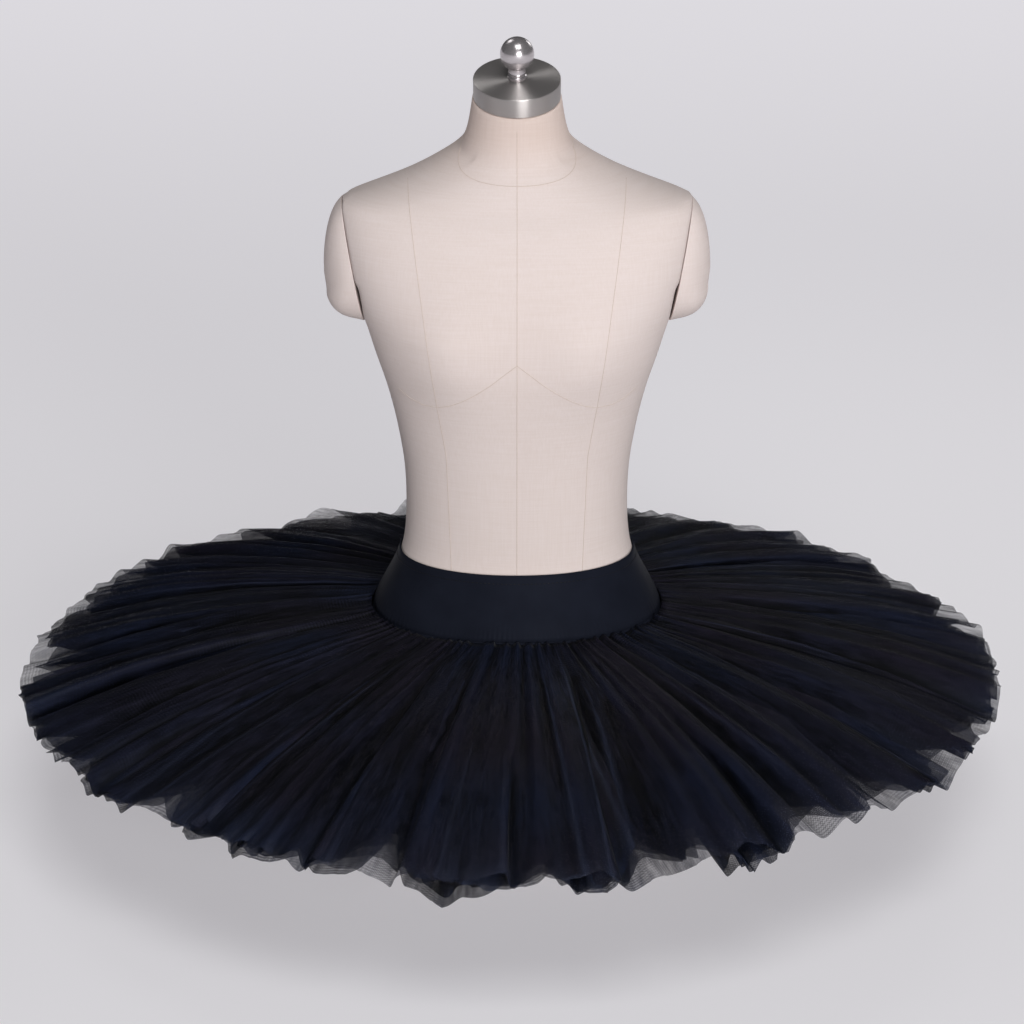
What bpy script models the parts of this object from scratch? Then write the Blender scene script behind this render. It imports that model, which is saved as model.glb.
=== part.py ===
"""A stage tutu on the linen-covered torso form that carries it.

The tutu is built as a costume maker builds one: a shaped waistband sits from the waist to the high hip, a hip
yoke carries on below it, and gathered net skirts are sewn to the yoke one under the other, long ones on top and
short ones beneath, so that they hold each other out as a plate. The form is a padded torso with two shoulder
pads, a metal neck plate and a ball finial. It stands on its own flat underside, which lies on z = 0.

Metres, +Z up, the garment's front towards -Y. x = 0 is the middle of the body.
"""

import math
import random
from bisect import bisect_right
from collections import namedtuple

import bmesh
import bpy
from mathutils import Vector

# ---- driving dimensions ------------------------------------------------------------------------------------

HIP_SEAM = 0.2305  # height of the seam where the skirts leave the waistband
BAND_DEPTH = 0.063  # waistband, seam to top edge
BAND_WALL = 0.0020  # satin over a firm interlining
YOKE_DEPTH = 0.058  # hip yoke below the seam
YOKE_WALL = 0.0012
CLEAR = 0.0006  # between the form and the cloth on it
SEAM_GAP = 0.0004  # between pieces that are sewn or screwed together
GATHER_GAP = 0.0007  # between the yoke and the nets gathered onto it

NET_WALL = 0.0014  # one gathered net skirt, as a wall
NET_REACH = 0.3710  # length of the longest skirt, from the seam to its rim
RIM_ASIDE = -0.0065  # the rim's middle lies this far to the wearer's right of the body's
SEAM_PLEAT = 0.0014  # height of the gathers at the seam, each side of the middle
SWAY = 0.0035  # slow rise and fall that all the rims share
RIM_RAGGED = 0.006  # how much shorter than the rest a pleat may be cut
RIM_FULLNESS = 1.94  # power of the rims' superellipse

ARMPIT = 0.5400  # height of the lowest point of the shoulder seam
SHOULDER_TIP = 0.6735  # height of its highest point
ARMPIT_HALF_WIDTH = 0.1540
SHOULDER_HALF_WIDTH = 0.1770
PAD_BULGE = 0.0352  # how far a shoulder pad stands out from its seam
PAD_FULLEST = 0.575  # height where it stands out most

BUST_HEIGHT, BUST_ASIDE, BUST_SPREAD, BUST_RISE = 0.530, 0.078, 0.044, 0.0135

PLATE_RADIUS, PLATE_THICK, PLATE_BEVEL = 0.0437, 0.0205, 0.0010
BALL_RADIUS, BALL_STEM, STEM_RADIUS = 0.0171, 0.0110, 0.0095

FRONT_POINTS, BACK_POINTS = 20, 18  # corners of a torso section, front and back
CORNER = 0.985  # where a section's front and back arcs end, as a share of its half width
ARC_STEPS = 9  # steps of the finial's ball from its stem to its top
TURNED_SIDES = 28  # sides of the neck plate and the finial
RIM_LOOK = 720  # points that an oval is measured with

# ---- the form's sections -----------------------------------------------------------------------------------

Section = namedtuple("Section", "height half_width front back shift lean fullness")
# Metres; front and back are depths from the section's middle, shift is that middle's y, lean tips the section
# forward in degrees, and fullness is the power of its superellipse (2 is an ellipse, more is squarer).
FORM = [
    Section(0.0000, 0.1500, 0.1020, 0.1120, 0.000, 0, 2.20),  # flat underside
    Section(0.0080, 0.1550, 0.1065, 0.1165, 0.000, 0, 2.20),
    Section(0.0600, 0.1610, 0.1120, 0.1240, 0.000, 0, 2.20),
    Section(0.1200, 0.1640, 0.1160, 0.1300, 0.000, 0, 2.20),  # full hip
    Section(0.1720, 0.1620, 0.1180, 0.1310, 0.000, 0, 2.20),
    Section(0.2305, 0.1513, 0.1160, 0.1256, 0.000, 0, 2.15),  # skirt seam
    Section(0.2625, 0.1350, 0.1005, 0.1070, 0.000, 0, 2.15),
    Section(0.2935, 0.1203, 0.0870, 0.0902, 0.000, 0, 2.15),  # top of the waistband
    Section(0.3200, 0.1168, 0.0850, 0.0860, 0.000, 0, 2.15),
    Section(0.3500, 0.1158, 0.0850, 0.0850, 0.000, 0, 2.15),  # waist
    Section(0.3880, 0.1169, 0.0865, 0.0880, 0.000, 0, 2.15),
    Section(0.4212, 0.1222, 0.0900, 0.0930, 0.000, 0, 2.20),
    Section(0.4542, 0.1285, 0.0955, 0.0980, 0.000, 0, 2.25),
    Section(0.4869, 0.1373, 0.1020, 0.1020, 0.000, 0, 2.30),
    Section(0.5120, 0.1462, 0.1060, 0.1045, 0.000, 0, 2.35),  # bust
    Section(0.5400, 0.1540, 0.1065, 0.1060, 0.000, 0, 2.40),  # armpit
    Section(0.5650, 0.1655, 0.1060, 0.1080, 0.000, 0, 2.40),
    Section(0.6000, 0.1760, 0.1020, 0.1080, 0.000, 0, 2.40),
    Section(0.6350, 0.1825, 0.0930, 0.1040, 0.000, 0, 2.40),
    Section(0.6600, 0.1830, 0.0820, 0.0940, 0.000, 0, 2.30),
    Section(0.6735, 0.1770, 0.0740, 0.0850, 0.000, 0, 2.20),  # shoulder tip
    Section(0.6850, 0.1440, 0.0690, 0.0790, 0.000, 1, 2.15),
    Section(0.6970, 0.1105, 0.0640, 0.0720, 0.000, 3, 2.10),
    Section(0.7110, 0.0810, 0.0590, 0.0640, 0.000, 7, 2.05),
    Section(0.7260, 0.0568, 0.0530, 0.0550, -0.002, 12, 2.00),  # foot of the neck
    Section(0.7420, 0.0504, 0.0485, 0.0485, -0.005, 16, 2.00),
    Section(0.7580, 0.0474, 0.0465, 0.0465, -0.007, 17, 2.00),
    Section(0.7765, 0.0447, 0.0447, 0.0447, -0.009, 17, 2.00),  # top of the neck
]
PAD_HEIGHTS = [0.5400, 0.5480, 0.5650, 0.5880, 0.6120, 0.6350, 0.6540, 0.6670, 0.6735]
BAND_HEIGHTS = [HIP_SEAM + BAND_DEPTH * share for share in (0, 1 / 3, 2 / 3, 1)]
YOKE_HEIGHTS = [HIP_SEAM - YOKE_DEPTH * share for share in (1, 0.5, 0)]

# ---- the net skirts ----------------------------------------------------------------------------------------

Skirt = namedtuple("Skirt", "name top rim reach pleats rise corners stations")
# top and rim are the heights of its sewn edge and of its rim, reach its length as a share of NET_REACH, rise the
# height of its rim's pleats each side of the middle, corners the points in a pleat, stations the rings across it.
SKIRTS = [
    Skirt("net_skirt_1_top", 0.2279, 0.1550, 1.00, 66, 0.0080, 4, 5),
    Skirt("net_skirt_2", 0.2208, 0.1380, 0.995, 50, 0.0064, 3, 4),
    Skirt("net_skirt_3", 0.2118, 0.1235, 0.985, 36, 0.0050, 3, 4),
    Skirt("net_skirt_4_short", 0.2005, 0.1390, 0.74, 26, 0.0040, 3, 4),
    Skirt("net_skirt_5_shortest", 0.1880, 0.1640, 0.42, 20, 0.0034, 3, 3),
]
PLEAT_SHAPES = {  # share of the pleat's width, and height from -1 in its valley to 1 on its crest
    3: [(0.0, -1.0), (0.36, 1.0), (0.70, 0.15)],
    4: [(0.0, -1.0), (0.26, 0.55), (0.48, 1.0), (0.76, -0.05)],
}


# ---- helpers -----------------------------------------------------------------------------------------------


def clear_scene():
    for item in list(bpy.data.objects):
        bpy.data.objects.remove(item, do_unlink=True)


def material(name, colour, roughness, metallic=0.0):
    made = bpy.data.materials.new(name)
    made.use_nodes = True
    shader = made.node_tree.nodes["Principled BSDF"]
    shader.inputs["Base Color"].default_value = (*colour, 1.0)
    shader.inputs["Roughness"].default_value = roughness
    shader.inputs["Metallic"].default_value = metallic
    return made


def add_object(name, points, faces, finish):
    mesh = bpy.data.meshes.new(name)
    mesh.from_pydata([tuple(p) for p in points], [], faces)
    mesh.materials.append(finish)
    mesh.shade_smooth()
    mesh.set_sharp_from_angle(angle=math.radians(40))
    made = bpy.data.objects.new(name, mesh)
    bpy.context.scene.collection.objects.link(made)
    return made


def ring_faces(lower, upper, count):
    """Quads between two rings of count points that start at the indices lower and upper."""
    return [
        (lower + i, lower + (i + 1) % count, upper + (i + 1) % count, upper + i)
        for i in range(count)
    ]


def lofted(name, rings, finish):
    """A closed solid through rings that turn anticlockwise and rise, with flat ends."""
    count = len(rings[0])
    faces = [tuple(reversed(range(count)))]
    for k in range(len(rings) - 1):
        faces += ring_faces(k * count, (k + 1) * count, count)
    last = (len(rings) - 1) * count
    faces.append(tuple(range(last, last + count)))
    return add_object(name, [p for ring in rings for p in ring], faces, finish)


def walled(name, inner, outer, finish):
    """A closed wall between two stacks of rings, open at its top and bottom."""
    rings = outer + inner[::-1]
    count = len(rings[0])
    faces = []
    for k in range(len(rings)):
        faces += ring_faces(k * count, (k + 1) % len(rings) * count, count)
    return add_object(name, [p for ring in rings for p in ring], faces, finish)


def section_at(height):
    """The form's section at a height, on a smooth curve through the table (Catmull-Rom)."""
    heights = [row.height for row in FORM]
    k = min(max(bisect_right(heights, height) - 1, 0), len(FORM) - 2)
    low, high = FORM[k], FORM[k + 1]
    step = high.height - low.height
    t = (height - low.height) / step
    before, after = FORM[max(k - 1, 0)], FORM[min(k + 2, len(FORM) - 1)]

    def column(name):
        a, b = getattr(low, name), getattr(high, name)
        rise = b - a
        start = (b - getattr(before, name)) / (high.height - before.height) * step
        end = (getattr(after, name) - a) / (after.height - low.height) * step
        limit = 3 * abs(rise)
        start = math.copysign(min(abs(start), limit), rise) if start * rise > 0 else 0.0
        end = math.copysign(min(abs(end), limit), rise) if end * rise > 0 else 0.0
        return (
            a
            + start * t * (1 - t) ** 2
            + rise * t * t * (3 - 2 * t)
            - end * t * t * (1 - t)
        )

    return Section(height, *[column(name) for name in Section._fields[1:]])


def arm_seam_half_width(height):
    """x of the flat face where a shoulder pad joins the torso."""
    share = (height - ARMPIT) / (SHOULDER_TIP - ARMPIT)
    return ARMPIT_HALF_WIDTH + share * (SHOULDER_HALF_WIDTH - ARMPIT_HALF_WIDTH)


def in_arm_seam(height):
    return ARMPIT + 1e-6 < height < SHOULDER_TIP - 1e-6


def bust(x, height):
    """How far the front of the chest stands forward of its plain section."""
    aside = (abs(x) - BUST_ASIDE) / BUST_SPREAD
    above = (height - BUST_HEIGHT) / BUST_SPREAD
    return BUST_RISE * math.exp(-(aside * aside) - above * above)


def section_points(height, grow=0.0):
    """The section's corners, anticlockwise from its right side, each pushed out by grow."""
    row = section_at(height)
    width = row.half_width + grow
    side = arm_seam_half_width(height) if in_arm_seam(height) else width
    corner = side / width if in_arm_seam(height) else CORNER
    start = math.acos(corner ** (row.fullness / 2))
    points = []

    def add(x, depth):
        lean = math.radians(row.lean)
        y = row.shift + depth * math.cos(lean)
        points.append(Vector((x, y, height + depth * math.sin(lean))))

    def arc(first, last, count, depth, sign):
        for k in range(count):
            turn = first + (last - first) * k / (count - 1)
            c, s = math.cos(turn), math.sin(turn)
            x = width * math.copysign(abs(c) ** (2 / row.fullness), c)
            y = (depth + grow) * abs(s) ** (2 / row.fullness)
            add(x, sign * (y + (bust(x, height) * s if sign < 0 else 0.0)))

    add(side, 0.0)
    arc(start, math.pi - start, BACK_POINTS, row.back, 1)
    add(-side, 0.0)
    arc(math.pi - start, start, FRONT_POINTS, row.front, -1)
    return points


# ---- the torso form ----------------------------------------------------------------------------------------


def make_torso(linen):
    heights = {row.height for row in FORM} | set(PAD_HEIGHTS) | set(BAND_HEIGHTS) | set(YOKE_HEIGHTS)
    ordered = []
    for height in sorted(heights):
        if not ordered or height - ordered[-1] > 0.004:
            ordered.append(height)
    return lofted("form_torso", [section_points(h) for h in ordered], linen)


def pad_outline():
    """The outline of the right shoulder seam, on the torso's flat face, front going up and back coming down."""
    inner = [h for h in PAD_HEIGHTS if in_arm_seam(h)]
    front, back = [], []
    for height in inner:
        row = section_at(height)
        x = arm_seam_half_width(height)
        share = (1 - (x / row.half_width) ** row.fullness) ** (1 / row.fullness)
        front.append(Vector((x, -row.front * share, height)))
        back.append(Vector((x, row.back * share, height)))
    low = Vector((ARMPIT_HALF_WIDTH, 0.0, ARMPIT))
    high = Vector((SHOULDER_HALF_WIDTH, 0.0, SHOULDER_TIP))
    return [low, *front, high, *back[::-1]]


def make_shoulder_pad(name, side, linen):
    """A rounded pad on the shoulder seam: rings of the seam's outline that shrink as they stand out."""
    outline = pad_outline()
    out = Vector((1.0, 0.0, 0.0))
    fullest = Vector((arm_seam_half_width(PAD_FULLEST), 0.0, PAD_FULLEST))
    rings = []
    for share in (1.0, 0.985, 0.93, 0.83, 0.68, 0.48, 0.24):
        ring = []
        for point in outline:
            away = point - fullest
            power = 1.60 if away.z > 0 else 2.6
            stand = PAD_BULGE * (1 - share**power) ** (1 / power)
            place = fullest + away * share + out * (stand + SEAM_GAP)
            ring.append(Vector((side * place.x, place.y, place.z)))
        rings.append(ring if side < 0 else ring[::-1])
    return lofted(name, rings, linen)


def neck_frame():
    """The middle of the neck's top face, and the direction it faces."""
    top = FORM[-1]
    lean = math.radians(top.lean)
    return Vector((0.0, top.shift, top.height)), Vector((0.0, -math.sin(lean), math.cos(lean)))


def turned(name, profile, base, axis, finish):
    """A solid turned about axis through base from (radius, height) points, bottom to top."""
    across = Vector((1.0, 0.0, 0.0))
    beside = axis.cross(across)
    rings = []
    for radius, height in profile:
        ring = []
        for k in range(TURNED_SIDES):
            turn = 2 * math.pi * k / TURNED_SIDES
            spoke = across * math.cos(turn) + beside * math.sin(turn)
            ring.append(base + axis * height + spoke * radius)
        rings.append(ring)
    return lofted(name, rings, finish)


def make_neck_plate(steel):
    middle, axis = neck_frame()
    edge = PLATE_RADIUS - PLATE_BEVEL
    profile = [
        (edge, 0.0),
        (PLATE_RADIUS, PLATE_BEVEL),
        (PLATE_RADIUS, PLATE_THICK - PLATE_BEVEL),
        (edge, PLATE_THICK),
    ]
    return turned("neck_plate", profile, middle + axis * SEAM_GAP, axis, steel)


def make_finial(chrome):
    middle, axis = neck_frame()
    base = middle + axis * (PLATE_THICK + 2 * SEAM_GAP)
    centre = BALL_STEM + BALL_RADIUS - 0.001
    foot = math.asin(STEM_RADIUS * 0.88 / BALL_RADIUS)
    profile = [(STEM_RADIUS, 0.0), (STEM_RADIUS, 0.0035), (STEM_RADIUS * 0.84, 0.0055)]
    for k in range(ARC_STEPS):
        turn = foot + (math.radians(172) - foot) * k / (ARC_STEPS - 1)
        profile.append((BALL_RADIUS * math.sin(turn), centre - BALL_RADIUS * math.cos(turn)))
    return turned("ball_finial", profile, base, axis, chrome)


# ---- the tutu ----------------------------------------------------------------------------------------------


def make_waistband(satin):
    inner = [section_points(h, CLEAR) for h in BAND_HEIGHTS]
    outer = [section_points(h, CLEAR + BAND_WALL) for h in BAND_HEIGHTS]
    return walled("waistband", inner, outer, satin)


def make_hip_yoke(satin):
    heights = [min(h, HIP_SEAM - SEAM_GAP) for h in YOKE_HEIGHTS]
    inner = [section_points(h, CLEAR) for h in heights]
    outer = [section_points(h, CLEAR + YOKE_WALL) for h in heights]
    return walled("hip_yoke", inner, outer, satin)


class Oval:
    """A closed oval that can be walked by the share of its length, from the middle of the back."""

    def __init__(self, half_width, front, back, fullness):
        self.points = []
        for k in range(RIM_LOOK + 1):
            turn = math.pi / 2 + 2 * math.pi * k / RIM_LOOK
            c, s = math.cos(turn), math.sin(turn)
            x = half_width * math.copysign(abs(c) ** (2 / fullness), c)
            y = (back if s > 0 else front) * math.copysign(abs(s) ** (2 / fullness), s)
            self.points.append(Vector((x, y)))
        self.lengths = [0.0]
        for a, b in zip(self.points, self.points[1:]):
            self.lengths.append(self.lengths[-1] + (b - a).length)

    def at(self, share):
        want = (share % 1.0) * self.lengths[-1]
        k = min(bisect_right(self.lengths, want) - 1, RIM_LOOK - 1)
        along = (want - self.lengths[k]) / (self.lengths[k + 1] - self.lengths[k])
        return self.points[k].lerp(self.points[k + 1], along)


def droop(across):
    """How much of its fall a skirt has made at a share of the way from its seam to its rim."""
    return 0.3 * across + 0.7 * across * across


def sway(share, across):
    """The slow rise and fall that all skirts share, none at the seam."""
    turn = 2 * math.pi * share
    wave = 0.5 * math.sin(3 * turn + 0.6) + 0.3 * math.sin(5 * turn + 2.1) + 0.2 * math.sin(8 * turn)
    return SWAY * wave * across * across


def pleat_corners(skirt):
    """(share at the seam, share at the rim, height, cut) for each corner of each pleat, all seeded."""
    dice = random.Random(skirt.name)
    widths = [dice.uniform(0.7, 1.3) for _ in range(skirt.pleats)]
    total, place = sum(widths), 0.0
    corners = []
    for k, width in enumerate(widths):
        rise, cut = dice.uniform(0.55, 1.0), dice.uniform(0.0, 1.0)
        for along, height in PLEAT_SHAPES[skirt.corners]:
            at_seam = (k + along) / skirt.pleats
            at_rim = (place + along * width) / total
            corners.append((at_seam, at_rim, height * rise, cut))
        place += width
    return corners


def make_net_skirt(skirt, net):
    """A gathered ring of net: pleats that grow from the seam to the rim, thickened to a wall."""
    seam = section_at(skirt.top)
    start = CLEAR + YOKE_WALL + GATHER_GAP
    inner = Oval(seam.half_width + start, seam.front + start, seam.back + start, seam.fullness)
    reach = NET_REACH * skirt.reach
    hem = section_at(HIP_SEAM)
    depth = (hem.front + hem.back) / 2 + reach
    outer = Oval(hem.half_width + reach, depth, depth, RIM_FULLNESS)
    aside = Vector((RIM_ASIDE, 0.0))
    stations = [(k / (skirt.stations - 1)) ** 1.25 for k in range(skirt.stations)]
    corners = pleat_corners(skirt)
    points = []
    for across in stations:
        size = SEAM_PLEAT + (skirt.rise - SEAM_PLEAT) * across
        for at_seam, at_rim, height, cut in corners:
            sewn, rim = inner.at(at_seam), outer.at(at_rim)
            rim = rim - rim.normalized() * RIM_RAGGED * cut + aside
            flat = sewn.lerp(rim, across)
            z = skirt.top + (skirt.rim - skirt.top) * droop(across) + size * height
            points.append((flat.x, flat.y, z + sway(at_rim, across * skirt.reach)))
    faces = []
    for k in range(len(stations) - 1):
        faces += ring_faces(k * len(corners), (k + 1) * len(corners), len(corners))
    made = add_object(skirt.name, points, faces, net)
    wall = made.modifiers.new("wall", "SOLIDIFY")
    wall.thickness = NET_WALL
    wall.offset = 0.0
    wall.use_rim = True
    return made


def main():
    clear_scene()
    linen = material("linen cover", (0.66, 0.60, 0.56), 0.9)
    steel = material("brushed stainless steel", (0.55, 0.54, 0.53), 0.35, 1.0)
    chrome = material("polished steel", (0.62, 0.61, 0.62), 0.12, 1.0)
    satin = material("black matte satin", (0.012, 0.013, 0.020), 0.6)
    net = material("black tulle net", (0.008, 0.009, 0.014), 0.8)
    make_torso(linen)
    make_shoulder_pad("shoulder_pad_left", 1, linen)
    make_shoulder_pad("shoulder_pad_right", -1, linen)
    make_neck_plate(steel)
    make_finial(chrome)
    make_waistband(satin)
    make_hip_yoke(satin)
    for skirt in SKIRTS:
        make_net_skirt(skirt, net)


main()
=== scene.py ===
"""The finish of a black practice tutu, and of the linen-covered torso form that it stands on.

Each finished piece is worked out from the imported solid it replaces. The torso and its pads are the solids
with their facets rounded. The waistband is laid on the rounded torso. Each gathered skirt becomes one or
two sheets of net that follow its solid's pleats and add the small folds that a solid wall is too
coarse for.

Metres, +Z up, the garment's front towards -Y.
"""

import math
import random
from collections import namedtuple

import bmesh
import bpy
import numpy as np
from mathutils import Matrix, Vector
from mathutils.bvhtree import BVHTree


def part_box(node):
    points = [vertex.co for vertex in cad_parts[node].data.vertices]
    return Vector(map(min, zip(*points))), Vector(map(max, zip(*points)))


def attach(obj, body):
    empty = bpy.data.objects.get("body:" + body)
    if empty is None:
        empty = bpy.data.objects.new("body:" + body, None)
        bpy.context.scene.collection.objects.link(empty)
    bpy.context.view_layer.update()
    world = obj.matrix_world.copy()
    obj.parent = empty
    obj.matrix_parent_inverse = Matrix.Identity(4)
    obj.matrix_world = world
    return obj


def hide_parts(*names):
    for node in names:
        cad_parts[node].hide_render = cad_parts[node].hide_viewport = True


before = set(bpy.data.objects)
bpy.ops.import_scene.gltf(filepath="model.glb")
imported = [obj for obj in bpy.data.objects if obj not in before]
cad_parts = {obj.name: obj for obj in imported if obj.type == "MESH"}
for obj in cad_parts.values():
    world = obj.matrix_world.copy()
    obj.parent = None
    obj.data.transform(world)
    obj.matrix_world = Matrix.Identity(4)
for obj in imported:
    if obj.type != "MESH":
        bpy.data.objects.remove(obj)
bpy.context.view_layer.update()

MM = 0.001
DOWN = Vector((0.0, 0.0, -1.0))
SIDES = ("left", "right")
BODY_REACH = 0.6  # rays at the body start this far from its middle, well outside it

# ---- sizes: the nets ----

NET_THICK = 0.3 * MM
NET_SOLID_WALL = 1.4 * MM  # the wall of the solids that the nets follow
NET_CELL = 1.4 * MM  # a real hole is 1.2 mm across
COURSE = 3.4 * MM  # the knitted courses, real ones 1 mm apart, drawn as coarse as the lines they beat up
SEAM_OUT = 0.9 * MM  # a net's sewn edge stands this far off the yoke
GATHER_HEAD = 1.5 * MM  # and rises this far towards the band where it is bunched
STATION_POWER = 1.25  # above 1 sets the rings of points closer together near the seam
OVAL_POINTS = 360  # the seam's oval and the rim's are found at so many points
RIM_SEARCH, RIM_STEP = 0.56, 1.5 * MM  # a rim is looked for inwards from this radius, in these steps
OVERHEAD = 0.1  # rays down at a net start this far above its highest point

Sheet = namedtuple("Sheet", "name solid lift reach short bare body strip columns rings")
# lift is the rim's height above the middle of the solid's wall, reach its length as a share of the solid's,
# short how much shorter some stretches of it hang, bare how far it stops short where the light comes through
# the hem, body how close its threads are, strip the length of the gathered strip of net, columns and rings the
# points round it and across it. The lower skirts lie up against the upper ones at the hem.
SHEETS = [
    Sheet("net_top_outer", "net_skirt_1_top", 0.0014, 1.008, 0.006, 0.0, 2.6, 3.1, 1500, 24),
    Sheet("net_top_inner", "net_skirt_1_top", -0.0016, 1.004, 0.012, 0.040, 4.2, 3.0, 1500, 22),
    Sheet("net_second_outer", "net_skirt_2", 0.0062, 1.004, 0.012, 0.075, 3.6, 2.9, 1200, 18),
    Sheet("net_second_inner", "net_skirt_2", 0.0036, 0.992, 0.022, 0.11, 4.0, 2.9, 1200, 16),
    Sheet("net_third_outer", "net_skirt_3", 0.0105, 0.992, 0.012, 0.10, 3.4, 2.7, 1200, 18),
    Sheet("net_third_inner", "net_skirt_3", 0.0080, 0.975, 0.030, 0.13, 4.0, 2.7, 1100, 16),
    Sheet("net_short", "net_skirt_4_short", 0.0, 1.0, 0.020, 0.0, 2.6, 2.2, 800, 12),
    Sheet("net_shortest", "net_skirt_5_shortest", 0.0, 1.0, 0.012, 0.0, 2.6, 1.5, 700, 9),
]

VALLEYS, VALLEY_DEPTH, VALLEY_LEAN = 46, 0.028, 0.9  # the lean is metres sideways for each metre of depth
GATHERS, GATHER_HEIGHT = 76, 0.0030
LAPS, LAP_HEIGHT = 90, 0.0013
WINDOWS, WINDOW_THINNING = 30, 0.55  # the wedges at the hem, and the share of the threads missing in them
RIM_DROOP = 3.0 * MM
RIM_LOBES, RIM_LOBE, RIM_RAW = 41, 5.5, 0.6  # how many, and in mm how far they and the raw edge stand out
Fold = namedtuple("Fold", "count seam_height rim_height lean drift")
# count folds round the ring, heights each side of the middle, lean is how far a fold tips over sideways for
# each metre of its height, drift how far, in folds, it strays from an even spacing.
SOFT_FOLDS = [Fold(17, 0.0012, 0.0065, 0.8, 1.4), Fold(43, 0.0006, 0.0020, 1.0, 2.0)]
OWN_FOLDS = [Fold(71, 0.0001, 0.0009, 2.0, 1.5)]  # these differ between the two sheets of one skirt
SOLID_PLEAT = 0.12  # how much of the solid's own pleats is kept under the broad folds
PLEAT_LEAN = 1.5  # how far those tip over, at most
FOLD_FULL, FOLD_MORE = 0.003, 0.009  # a fold this high at the seam, and so much more at the rim, is a full one
CROWDING = 0.30  # how much closer the threads are at the foot of a full fold
CREASE_FULL = 0.0013  # and a fine crease this high
TONE, FOLD_SHADING, LAP_HIGHLIGHT = 0.46, 0.34, 0.30  # a sheet's middle tone, and the painted shade and highlight that a full fold and a lap add to it
TONE_PATCHES = [("broad", 0.20, 140, 8), ("fine", 0.15, 330, 15)]  # weight, number round the ring, number out
CREASE_SCALE = (230.0, 40.0, 1.0)  # creases 4 mm wide and 25 mm long, with finer ones in them
# the crease noise opens the holes so much and darkens the tone so much, as painted shade of creases too small
# to model
CREASE_HOLES, CREASE_SHADE = 3.0, 1.1
AT_THREAD, AT_HOLE = 0.42, 0.80  # the share of light that gets past a thread and through the middle of a hole


# ---- sizes: the waistband and the yoke ----

Tube = namedtuple("Tube", "name node rows columns wall flat")
# rows and columns of points on its outer face, the wall's thickness, and the flat size it is cut to
BAND = Tube("waistband_satin", "waistband", 16, 600, 1.7 * MM, (0.90, 0.070))
YOKE = Tube("hip_yoke_shell", "hip_yoke", 5, 160, 1.0 * MM, (0.95, 0.060))
TUBE_GAP = 0.9 * MM  # both stand this far off the torso
PUCKERS, PUCKER_DEPTH, PUCKER_RISE, SLACK = 150, 0.0024, 14 * MM, 0.0022  # depths as shares of the radius
STITCH = {"Pitch": 4.4 * MM, "Length": 1.5 * MM, "Radius": 0.35 * MM}
STITCH_DOWN, STITCH_OFF = 8.2 * MM, 2.65 * MM  # below the band's upper edge, and out from the torso

# ---- sizes: the torso form ----

NECK_SEAM, NECK_SEAM_SLOPE = 0.729, 0.50  # its height on the middle line of the neck, and its rise to the back
PRINCESS = ((0.25, 0.42, 0.476, 0.56, 0.66, 0.70), (0.066, 0.072, 0.0806, 0.0916, 0.1047, 0.110))
UNDERBUST = (
    (0.0, 0.012, 0.026, 0.040, 0.055, 0.068, 0.080, 0.095, 0.108, 0.120),
    (0.527, 0.5175, 0.506, 0.496, 0.4865, 0.480, 0.4765, 0.4762, 0.480, 0.487),
)
PANEL_TOPS = {"front": 0.752, "back": 0.770, "princess": 0.735}
SEAM_UNDER, SEAM_STEP, SEAM_RADIUS = 6 * MM, 4 * MM, 0.34 * MM  # the seams run on a little under the band
NECK_POINTS, NECK_REACH = 96, 0.4
NECK_LEAN = math.radians(17)
NECK_AXIS = Vector((0.0, -math.sin(NECK_LEAN), math.cos(NECK_LEAN)))
PLATE_BEVEL = 1.1 * MM
# the stem under the ball, its radii as shares of its widest and its heights in mm
STEM = [(1.0, 0.0), (1.02, 1.0), (1.0, 2.6), (0.9, 3.2), (0.84, 4.2), (0.9, 5.2), (0.96, 6.6), (0.88, 8.0)]

# ---- sizes: the studio ----

TARGET = Vector((-0.005, 0.0, 0.330))
CAMERA_DISTANCE = 3.2
CAMERA_RISE = math.radians(21.07)
LENS, SENSOR = 107.1, 36.0
MIDDLE = Vector((0.0, 0.0, 0.4))
WORLD_STRENGTH, WORLD_COLOUR = 0.05, (0.92, 0.94, 1.0, 1.0)
SOFTBOXES = [  # name, turn from the front to the right, rise, both in degrees, distance, side, watts
    ("key", 14, 12, 8.0, 3.0, 410.0),
    ("top", 12, 60, 8.0, 4.0, 215.0),
    ("back right", 146, 30, 1.8, 0.5, 2.0),
    ("back left", -140, 55, 1.8, 0.5, 2.0),
]
FLOOR_HALF = 60.0
FLOOR_PAINT = (0.60, 0.60, 0.61, 1.0)
FLOOR_GLOW = (0.350, 0.338, 0.357, 1.0)
FLOOR_GLOW_BACK = (0.61, 0.593, 0.626, 1.0)

# ---- helpers ----


def linear(code):
    """An sRGB hex colour as linear red, green, blue and alpha."""
    parts = [int(code[k : k + 2], 16) / 255 for k in (1, 3, 5)]
    return (*[c / 12.92 if c <= 0.04045 else ((c + 0.055) / 1.055) ** 2.4 for c in parts], 1.0)


def add_node(tree, kind, sockets=(), **settings):
    """Adds a node with its settings. Each socket named gets a plain value or a link from another node's
    output."""
    made = tree.nodes.new(kind)
    for key, value in settings.items():
        setattr(made, key, value)
    for key, value in dict(sockets).items():
        if isinstance(value, bpy.types.NodeSocket):
            tree.links.new(value, made.inputs[key])
        else:
            made.inputs[key].default_value = value
    return made


def new_material(name):
    """A material with an empty node tree, and its tree."""
    made = bpy.data.materials.new(name)
    made.use_nodes = True
    made.node_tree.nodes.clear()
    return made, made.node_tree


def finish_material(tree, sockets):
    """Every material ends in one surface with the sockets given, and an output."""
    surface = add_node(tree, "ShaderNodeBsdfPrincipled", sockets)
    add_node(tree, "ShaderNodeOutputMaterial", {"Surface": surface.outputs["BSDF"]})


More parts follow.
